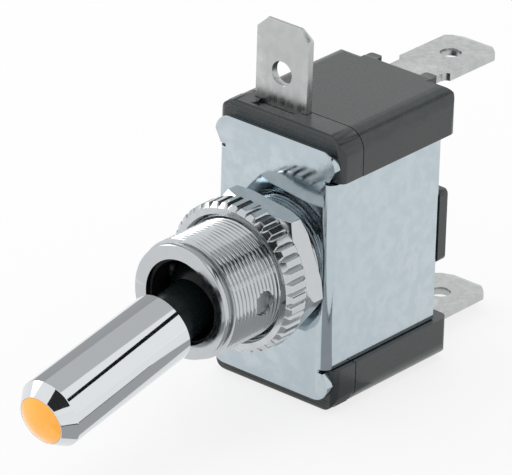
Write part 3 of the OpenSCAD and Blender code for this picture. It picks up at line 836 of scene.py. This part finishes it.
@dataclass
class Bushing(SubAssembly):
    """The threaded bushing with its turned-in rim, lip and cut thread, its liner, whose near-black finish
    also paints the shade deep in the bore, and pivot pins.
    """

    pitch: float = 0.5 * MM
    thread_depth: float = 0.3 * MM
    crest_share: float = 0.3
    lip_radius: float = 5.7 * MM
    lip_len: float = 0.5 * MM
    relief_len: float = 0.5 * MM
    relief_depth: float = 0.4 * MM
    mouth_radius: float = 4.15 * MM
    bore_radius: float = 4.53 * MM
    rim_len: float = 0.5 * MM
    tenon_radius: float = 5.1 * MM
    stake_radius: float = 5.45 * MM
    stake_len: float = 0.5 * MM
    pin_hole: float = 1.22 * MM
    steps_a_pitch: int = 8
    run_out: float = 0.4
    plate_gap: float = 0.05 * MM
    lip_taper: float = 0.05 * MM
    lip_round: float = 0.16 * MM
    relief_slope: float = 0.1 * MM
    sharp_deg: float = 48.0
    around: int = 144
    drill_sides: int = 48

    def thread_cut(self, start: float, end: float) -> RadiusRule:
        """The rule that cuts one helical groove between two stations.

        Args:
            start: where the thread begins.
            end: where it ends.

        Returns:
            A rule for the true radius.
        """

        def rule(radius: float, angle: float, station: float) -> float:
            """Takes the groove's depth off the radius inside the thread.

            Args:
                radius: radius before the cut.
                angle: angle about the axis.
                station: place along the axis.

            Returns:
                The true radius.
            """
            if not start < station < end or radius < self.lip_radius:
                return radius
            turn = ((station - start) / self.pitch - angle / (2 * math.pi)) % 1.0
            away = abs(turn - 0.5) * 2
            flank = max(0.0, 1 - away / (1 - self.crest_share))
            fade_len = self.run_out * self.pitch
            fade = min(1.0, (station - start) / fade_len, (end - station) / fade_len)
            return radius - self.thread_depth * flank * fade

        return rule

    def build(self) -> None:
        """Builds the bushing and dresses its liner and pins."""
        mouth, tail, crest = BUSHING_AXIS.reach("bushing")
        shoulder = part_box("frame_bracket")[0].y - self.plate_gap
        start = mouth + self.lip_len + self.relief_len
        outside = softened(
            [
                (self.mouth_radius, mouth), (self.lip_radius - self.lip_taper, mouth),
                (self.lip_radius, mouth + self.lip_len),
            ],
            self.lip_round,
        )
        outside += [
            (crest - self.relief_depth, mouth + self.lip_len + self.relief_slope),
            (crest - self.relief_depth, start - self.relief_slope),
            (crest, start),
        ]
        count = round((shoulder - start) / self.pitch * self.steps_a_pitch)
        outside += [(crest, start + (shoulder - start) * i / count) for i in range(1, count + 1)]
        behind = tail - self.stake_len
        outside += [
            (self.tenon_radius, shoulder), (self.tenon_radius, behind), (self.stake_radius, behind),
            (self.stake_radius, behind + self.stake_len / 2), (self.tenon_radius, tail),
            (self.bore_radius, tail), (self.bore_radius, mouth + self.rim_len),
            (self.mouth_radius, mouth + self.rim_len),
        ]
        piece = turned_piece(
            "threaded_bushing", BUSHING_AXIS, outside, self.around,
            self.thread_cut(start, shoulder), self.sharp_deg,
        )
        self.bore_pin_holes(piece)
        self.place(piece, Slot.PLATED_METAL, Body.SWITCH, "bushing")
        # The liner's near-black finish paints the shade that falls deep in the bore.
        self.carry_over(Slot.LINER_AND_PAINTED_SHADE, "bore_liner", edge=0)
        self.carry_over(Slot.PIN_STEEL, "pivot_pins", edge=0.05 * MM)

    def bore_pin_holes(self, piece: bpy.types.Object) -> None:
        """Drills the cross hole for the two pivot pins.

        Args:
            piece: the bushing.
        """
        reach = 1.2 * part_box("bushing")[1].x
        drill_axis = Axis(LEVER_AXIS.origin, Vector((1, 0, 0)), Vector((0, 1, 0)))
        drill = turned_piece(
            "drill", drill_axis,
            [(0, -reach), (self.pin_hole, -reach), (self.pin_hole, reach), (0, reach)],
            self.drill_sides,
        )
        cut = piece.modifiers.new("cross_hole", "BOOLEAN")
        cut.object = drill
        cut.solver = "EXACT"
        settle(piece)
        bpy.data.objects.remove(drill)
        smooth_shade(piece.data, self.sharp_deg)


@dataclass
class Nuts(SubAssembly):
    """The knurled panel nut and the hexagon clamp nut."""

    teeth: int = 40
    tooth_depth: float = 0.42 * MM
    groove_share: float = 0.44
    steps_a_tooth: int = 12
    chamfer: float = 0.45 * MM
    bore_gap: float = 0.05 * MM
    mouth_chamfer: float = 0.45 * MM
    rings: int = 18
    outer_share: float = 0.9
    sharp_deg: float = 32.0

    def knurl(self, crest: float, chamfer_at: Callable[[float], float]) -> RadiusRule:
        """The rule that cuts the teeth.

        Args:
            crest: radius over the teeth.
            chamfer_at: the chamfers' radius at a station.

        Returns:
            A rule for the true radius.
        """

        def rule(radius: float, angle: float, station: float) -> float:
            """Takes the groove's depth off the radius between two teeth.

            Args:
                radius: radius before the cut.
                angle: angle about the axis.
                station: place along the axis.

            Returns:
                The true radius.
            """
            if radius < crest * self.outer_share:
                return radius
            turn = (angle * self.teeth / (2 * math.pi)) % 1.0
            away = abs(turn - 0.5) / (self.groove_share / 2)
            groove = max(0.0, 1 - away)
            tooth = crest - self.tooth_depth * groove
            return min(tooth, chamfer_at(station))

        return rule

    def build(self) -> None:
        """Builds the knurled nut and dresses the hexagon nut."""
        low, high, crest = BUSHING_AXIS.reach("knurled_nut")
        bore = BUSHING_AXIS.reach("bushing")[2] + self.bore_gap

        def chamfer_at(station: float) -> float:
            """Measures the two chamfers.

            Args:
                station: place along the axis.

            Returns:
                The chamfers' radius there.
            """
            front = crest - self.chamfer + (station - low)
            back = crest - self.chamfer / 2 + (high - station)
            return min(crest, front, back)

        outside = [(bore + self.mouth_chamfer, low), (crest - self.chamfer, low)]
        outside += [(crest, low + (high - low) * i / self.rings) for i in range(1, self.rings)]
        outside += [
            (crest - self.chamfer / 2, high), (bore + self.mouth_chamfer, high),
            (bore, high - self.mouth_chamfer), (bore, low + self.mouth_chamfer),
        ]
        segments = self.teeth * self.steps_a_tooth
        piece = turned_piece(
            "knurled_panel_nut", BUSHING_AXIS, outside, segments,
            self.knurl(crest, chamfer_at), self.sharp_deg,
        )
        self.place(piece, Slot.PLATED_METAL, Body.PANEL_NUT, "knurled_nut")
        self.carry_over(Slot.PLATED_METAL, "hex_nut", edge=0.09 * MM)


@dataclass
class Lever(SubAssembly):
    """The chrome lever with its lens, stem, lamp, resistor and plunger spring."""

    bore_radius: float = 2.7 * MM
    taper_len: float = 1.3 * MM
    taper_depth: float = 1.0 * MM
    lens_radius: float = 2.4 * MM
    dome: float = 0.75 * MM
    seat: float = 2.0 * MM
    rim: float = 0.06 * MM
    lens_gap: float = 0.02 * MM
    lens_land: float = 0.03 * MM
    dome_steps: int = 16

    def tube(self) -> None:
        """Builds the chrome tube with its crisp front taper."""
        back, front, radius = LEVER_AXIS.reach("lever_handle")
        mouth = radius - self.taper_depth
        step = front - self.seat
        corners = [
            (self.bore_radius, back), (radius, back), (radius, front - self.taper_len),
            (mouth, front), (self.lens_radius + self.lens_gap, front),
            (self.lens_radius + self.lens_gap, step), (self.bore_radius, step),
        ]
        piece = turned_piece("lever_tube", LEVER_AXIS, softened(corners, self.rim), 160, None, 60.0)
        self.place(piece, Slot.LEVER_CHROME, Body.LEVER, "lever_handle")

    def lens(self) -> None:
        """Builds the domed lens."""
        low, high, radius = LEVER_AXIS.reach("lever_lens")
        rim = high - self.dome
        curve = (radius**2 + self.dome**2) / (2 * self.dome)
        sweep = math.asin(radius / curve)
        profile = [(0.0, low), (radius, low), (radius, rim - self.lens_land)]
        for i in range(self.dome_steps):
            a = sweep * (1 - i / self.dome_steps)
            profile.append((curve * math.sin(a), high - curve * (1 - math.cos(a))))
        profile.append((0.0, high))
        piece = turned_piece("domed_lens", LEVER_AXIS, profile, 96, None, 50.0)
        self.place(piece, Slot.AMBER_LENS, Body.LEVER, "lever_lens")

    def spring(self) -> None:
        """Builds the plunger's spring as a copy of its construction node, riding on the lever."""
        piece = new_piece("pressed_spring", NODES["plunger_spring"].data.copy())
        smooth_shade(piece.data, 60.0)
        self.place(piece, Slot.SPRING_STEEL, Body.LEVER, "plunger_spring")
        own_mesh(piece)

    def build(self) -> None:
        """Builds the lever's outside and dresses what it holds."""
        self.tube()
        self.lens()
        self.carry_over(Slot.BLACK_STEM, "lever_stem", edge=0)
        self.carry_over(Slot.LAMP_RESIN, "lamp", edge=0)
        self.carry_over(Slot.RESISTOR_BODY, "lamp_resistor", edge=0)
        self.carry_over(Slot.CONTACT_BRASS, "lamp_lead", edge=0)
        self.spring()


@dataclass
class Housing(SubAssembly):
    """The black moulding with its fine step lines, and the plated bracket round it."""

    line_radius: float = 0.07 * MM
    line_count: int = 3
    line_pitch: float = 0.3 * MM
    corner_radius: float = 0.8 * MM
    cap_edge: float = 2.0 * MM
    corner_steps: int = 8
    first_line: float = 0.75
    line_end: float = 0.4 * MM
    line_sides: int = 6
    line_sunk: float = 0.3

    def step_line(self, level: float, name: str) -> bpy.types.Object:
        """Lays one half-round bead along the cover's front and round its two corners.

        Args:
            level: the bead's height.
            name: its name.

        Returns:
            The new object.
        """
        low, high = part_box("front_cover")
        above = max(0.0, abs(level) - (high.z - self.cap_edge))
        side_x = high.x - self.cap_edge + math.sqrt(self.cap_edge**2 - above**2)
        half = side_x - self.corner_radius
        inner = low.y + self.corner_radius
        path = [Vector((-side_x, high.y - self.line_end, level))]
        for side in (-1, 1):
            turns = range(self.corner_steps + 1)
            for i in turns if side < 0 else reversed(turns):
                a = math.pi / 2 * i / self.corner_steps
                path.append(
                    Vector((
                        side * (half + self.corner_radius * math.cos(a)),
                        inner - self.corner_radius * math.sin(a), level,
                    ))
                )
        path.append(Vector((side_x, high.y - self.line_end, level)))
        mesh = bpy.data.meshes.new(name)
        maker = bmesh.new()
        rings = []
        for k, point in enumerate(path):
            ahead = (path[min(k + 1, len(path) - 1)] - path[max(k - 1, 0)]).normalized()
            out = ahead.cross(Vector((0, 0, 1))).normalized()
            ring = []
            for i in range(self.line_sides + 1):
                a = math.pi * i / self.line_sides
                lift = out * (math.sin(a) - self.line_sunk) + Vector((0, 0, 1)) * math.cos(a)
                ring.append(maker.verts.new(point + lift * self.line_radius))
            rings.append(ring)
        for first, second in zip(rings, rings[1:]):
            for i in range(self.line_sides):
                maker.faces.new((first[i], first[i + 1], second[i + 1], second[i]))
        for end in (rings[0], rings[-1]):
            maker.faces.new(end)
        bmesh.ops.recalc_face_normals(maker, faces=maker.faces)
        maker.to_mesh(mesh)
        maker.free()
        smooth_shade(mesh, 50.0)
        return new_piece(name, mesh)

    def build(self) -> None:
        """Dresses the mouldings and the bracket and lays the step lines."""
        self.carry_over(Slot.BLACK_MOULDING, "front_cover", "housing", edge=0.08 * MM)
        self.carry_over(Slot.PLATED_STEEL, "frame_bracket", edge=0.09 * MM)
        plate_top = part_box("frame_bracket")[1].z
        for side in (-1, 1):
            for i in range(self.line_count):
                level = side * (plate_top + (i + self.first_line) * self.line_pitch)
                word = "upper" if side > 0 else "lower"
                piece = self.step_line(level, f"step_line_{word}_{i + 1}")
                self.place(piece, Slot.BLACK_MOULDING, Body.SWITCH)


@dataclass
class Contacts(SubAssembly):
    """The blade terminals and the rocker mechanism in the cavity."""

    def build(self) -> None:
        """Dresses the terminals and every piece of the mechanism."""
        blades = ("front_terminal", "rear_upper_terminal", "rear_lower_terminal")
        self.carry_over(Slot.TINNED_METAL, *blades, edge=0.06 * MM)
        self.carry_over(Slot.TINNED_METAL, "cradle_rivet", edge=0)
        self.carry_over(Slot.BLACK_STEM, "plunger", edge=0)
        self.carry_over(Slot.CONTACT_BRASS, "rocker_contact", "rocker_cradle", edge=0)
        self.carry_over(Slot.CONTACT_SILVER, "moving_contact", "fixed_contact", edge=0)


# ---- studio ----


@dataclass(frozen=True)
class Card:
    """A card that only shows in reflections, as a photographer sets beside bright metal.

    Args:
        name: its name.
        toward: direction from the switch to the card.
        up: rough direction of its long side.
        width: its short side.
        length: its long side.
        level: its brightness.
        distance: how far away it stands.
    """

    name: str
    toward: tuple[float, float, float]
    up: tuple[float, float, float]
    width: float
    length: float
    level: float
    distance: float = 0.4


@dataclass(frozen=True)
class FloorCard:
    """A card that lies on the floor beside the lever and only shows in reflections.

    Args:
        name: its name.
        corners_mm: its corners' X and Y in millimetres, in order.
        level: its brightness.
    """

    name: str
    corners_mm: tuple[tuple[float, float], ...]
    level: float


@dataclass(frozen=True)
class Lamp:
    """A soft square lamp.

    Args:
        name: its name.
        toward: direction from the switch to the lamp.
        size: its side.
        power: its power in watts.
        distance: how far away it stands.
        shows: whether it shows in reflections.
    """

    name: str
    toward: tuple[float, float, float]
    size: float
    power: float
    distance: float = 0.5
    shows: bool = True


@dataclass
class Studio:
    """Pale floor, soft light and the camera."""

    azimuth_deg: float = 39.959
    elevation_deg: float = 25.468
    roll_deg: float = -1.663
    distance: float = 0.553850
    lens_mm: float = 411.015
    aim: Vector = field(default_factory=lambda: Vector((0, 0.0111, 0)))
    shift_right: float = -4.713 * MM
    shift_up: float = 0.417 * MM
    floor_side: float = 3.0
    floor_white: float = 0.78
    floor_grey: float = 0.86
    floor_card_lift: float = 0.02 * MM
    card_blue: float = 1.02
    world_soft: float = 0.75
    lamps: tuple[Lamp, ...] = (
        Lamp("key_lamp", (-0.845, -0.336, 0.412), 0.20, 0.55),
        Lamp("top_lamp", (-0.2, 0.1, 0.97), 0.45, 1.1, 0.6, False),
    )
    cards: tuple[Card, ...] = (
        Card("overhead_card", (-0.25, 0.25, 0.94), (0, 1, 0), 0.50, 0.50, 0.58, 0.45),
        Card("left_card", (-0.90, 0.38, 0.22), (0, 0, 1), 0.26, 0.46, 0.42),
        Card("black_flag", (0.545, 0.449, 0.708), (0.55, -0.835, 0.0), 0.055, 0.30, 0.01, 0.35),
        Card("camera_side_card", (0.36, -0.75, 0.55), (0, 0, 1), 0.34, 0.34, 0.03, 0.45),
    )
    floor_cards: tuple[FloorCard, ...] = (
        FloorCard("grey_floor_card", ((2, -40), (12, -40), (30, 14), (8, 14)), 0.42),
        FloorCard("black_floor_strip", ((12, -40), (13.6, -40), (31.6, 14), (30, 14)), 0.03),
    )

    def emission(self, name: str, level: float) -> bpy.types.Material:
        """Makes a plain even emission for a card.

        Args:
            name: the material's name.
            level: the card's brightness.

        Returns:
            The new material.
        """
        material = bpy.data.materials.new(name)
        material.use_nodes = True
        tree = material.node_tree
        tree.nodes.clear()
        nodes = Nodes(tree)
        colour = (level, level, level * self.card_blue, 1.0)
        glow = nodes.add("ShaderNodeEmission", {"Color": colour, "Strength": 1.0})
        nodes.add("ShaderNodeOutputMaterial", {"Surface": glow.outputs[0]})
        return material

    def facing(self, toward: Vector, up: Vector, distance: float) -> Matrix:
        """A matrix that stands a thing in a direction, facing the switch.

        Args:
            toward: direction from the switch.
            up: rough direction of its own Y.
            distance: how far away it stands.

        Returns:
            The world matrix.
        """
        z = toward.normalized()
        x = up.cross(z).normalized()
        y = z.cross(x)
        matrix = Matrix((x, y, z)).transposed().to_4x4()
        matrix.translation = self.aim + z * distance
        return matrix

    def build_cards(self) -> None:
        """Stands the cards that only reflections show."""
        for card in self.cards:
            mesh = bpy.data.meshes.new(card.name)
            w, h = card.width / 2, card.length / 2
            mesh.from_pydata([(-w, -h, 0), (w, -h, 0), (w, h, 0), (-w, h, 0)], [], [(0, 1, 2, 3)])
            mesh.materials.append(self.emission(card.name, card.level))
            piece = self.reflected_only(new_piece(card.name, mesh))
            piece.matrix_world = self.facing(Vector(card.toward), Vector(card.up), card.distance)
        for card in self.floor_cards:
            mesh = bpy.data.meshes.new(card.name)
            level = CAD_BOX[0].z + self.floor_card_lift
            mesh.from_pydata([(x * MM, y * MM, level) for x, y in card.corners_mm], [], [(0, 1, 2, 3)])
            mesh.materials.append(self.emission(card.name, card.level))
            self.reflected_only(new_piece(card.name, mesh))

    def reflected_only(self, piece: bpy.types.Object) -> bpy.types.Object:
        """Makes a card show in reflections alone, as a thing of the studio.

        Args:
            piece: the card.

        Returns:
            The same card.
        """
        piece.visible_camera = False
        piece.visible_diffuse = False
        piece.visible_shadow = False
        piece.visible_transmission = False
        return piece

    def build_lamps(self) -> None:
        """Hangs the soft lamps."""
        for lamp in self.lamps:
            data = bpy.data.lights.new(lamp.name, "AREA")
            data.size = lamp.size
            data.energy = lamp.power
            light = bpy.data.objects.new(lamp.name, data)
            bpy.context.scene.collection.objects.link(light)
            light.matrix_world = self.facing(Vector(lamp.toward), Vector((0, 0.01, 1)), lamp.distance)
            light.visible_glossy = lamp.shows
            light.visible_camera = False

    def shown_ray(self, nodes: Nodes) -> bpy.types.NodeSocket:
        """Masks the rays that show the background: camera, glossy and transmission rays.

        Args:
            nodes: places nodes in the material or world.

        Returns:
            The socket with the mask.
        """
        path = nodes.add("ShaderNodeLightPath")
        seen = nodes.math("MAXIMUM", path.outputs["Is Camera Ray"], path.outputs["Is Glossy Ray"])
        return nodes.math("MAXIMUM", seen, path.outputs["Is Transmission Ray"])

    def build_world(self) -> None:
        """A plain soft sky that shows as white behind the switch."""
        world = bpy.data.worlds.new("studio_world")
        bpy.context.scene.world = world
        world.use_nodes = True
        tree = world.node_tree
        tree.nodes.clear()
        nodes = Nodes(tree)
        shown = self.shown_ray(nodes)
        strength = nodes.math("MULTIPLY_ADD", shown, 1.0 - self.world_soft, self.world_soft)
        sky = nodes.add("ShaderNodeBackground", {"Color": (1, 1, 1, 1), "Strength": strength})
        nodes.add("ShaderNodeOutputWorld", {"Surface": sky.outputs[0]})

    def build_floor(self) -> None:
        """A pale floor that keeps the switch's shadow."""
        material = bpy.data.materials.new("pale_floor")
        material.use_nodes = True
        tree = material.node_tree
        tree.nodes.clear()
        nodes = Nodes(tree)
        shown = nodes.math("MULTIPLY", self.shown_ray(nodes), self.floor_white)
        matt = nodes.add("ShaderNodeBsdfDiffuse", {"Color": (self.floor_grey,) * 3 + (1.0,)})
        white = nodes.add("ShaderNodeEmission", {"Color": (1, 1, 1, 1), "Strength": 1.0})
        both = nodes.add("ShaderNodeMixShader", {0: shown, 1: matt.outputs[0], 2: white.outputs[0]})
        nodes.add("ShaderNodeOutputMaterial", {"Surface": both.outputs[0]})
        mesh = bpy.data.meshes.new("floor")
        s = self.floor_side / 2
        mesh.from_pydata([(-s, -s, 0), (s, -s, 0), (s, s, 0), (-s, s, 0)], [], [(0, 1, 2, 3)])
        mesh.materials.append(material)
        floor = new_piece("floor", mesh)
        floor.location.z = CAD_BOX[0].z

    def build_camera(self) -> None:
        """Sets the camera at its viewing angle."""
        a, e, r = (math.radians(v) for v in (self.azimuth_deg, self.elevation_deg, self.roll_deg))
        back = Vector((math.sin(a) * math.cos(e), -math.cos(a) * math.cos(e), math.sin(e)))
        level = Vector((math.cos(a), math.sin(a), 0))
        upright = back.cross(level)
        right = math.cos(r) * level - math.sin(r) * upright
        up = math.sin(r) * level + math.cos(r) * upright
        data = bpy.data.cameras.new("camera")
        data.lens = self.lens_mm
        data.clip_start = 0.05
        data.clip_end = 10.0
        camera = bpy.data.objects.new("camera", data)
        bpy.context.scene.collection.objects.link(camera)
        matrix = Matrix((right, up, back)).transposed().to_4x4()
        matrix.translation = self.aim + right * self.shift_right + up * self.shift_up + back * self.distance
        camera.matrix_world = matrix
        bpy.context.scene.camera = camera

    def build(self) -> None:
        """Builds the whole studio."""
        self.build_camera()
        self.build_world()
        self.build_floor()
        self.build_cards()
        self.build_lamps()
        bpy.context.scene.view_settings.view_transform = "Standard"


def main() -> None:
    """Builds the studio and then every sub-assembly in order."""
    logging.basicConfig(level=logging.INFO, format="%(message)s")
    Studio().build()
    shop = FinishShop()
    for assembly in (Housing, Bushing, Nuts, Lever, Contacts):
        assembly(shop).build()


if __name__ == "__main__":
    main()
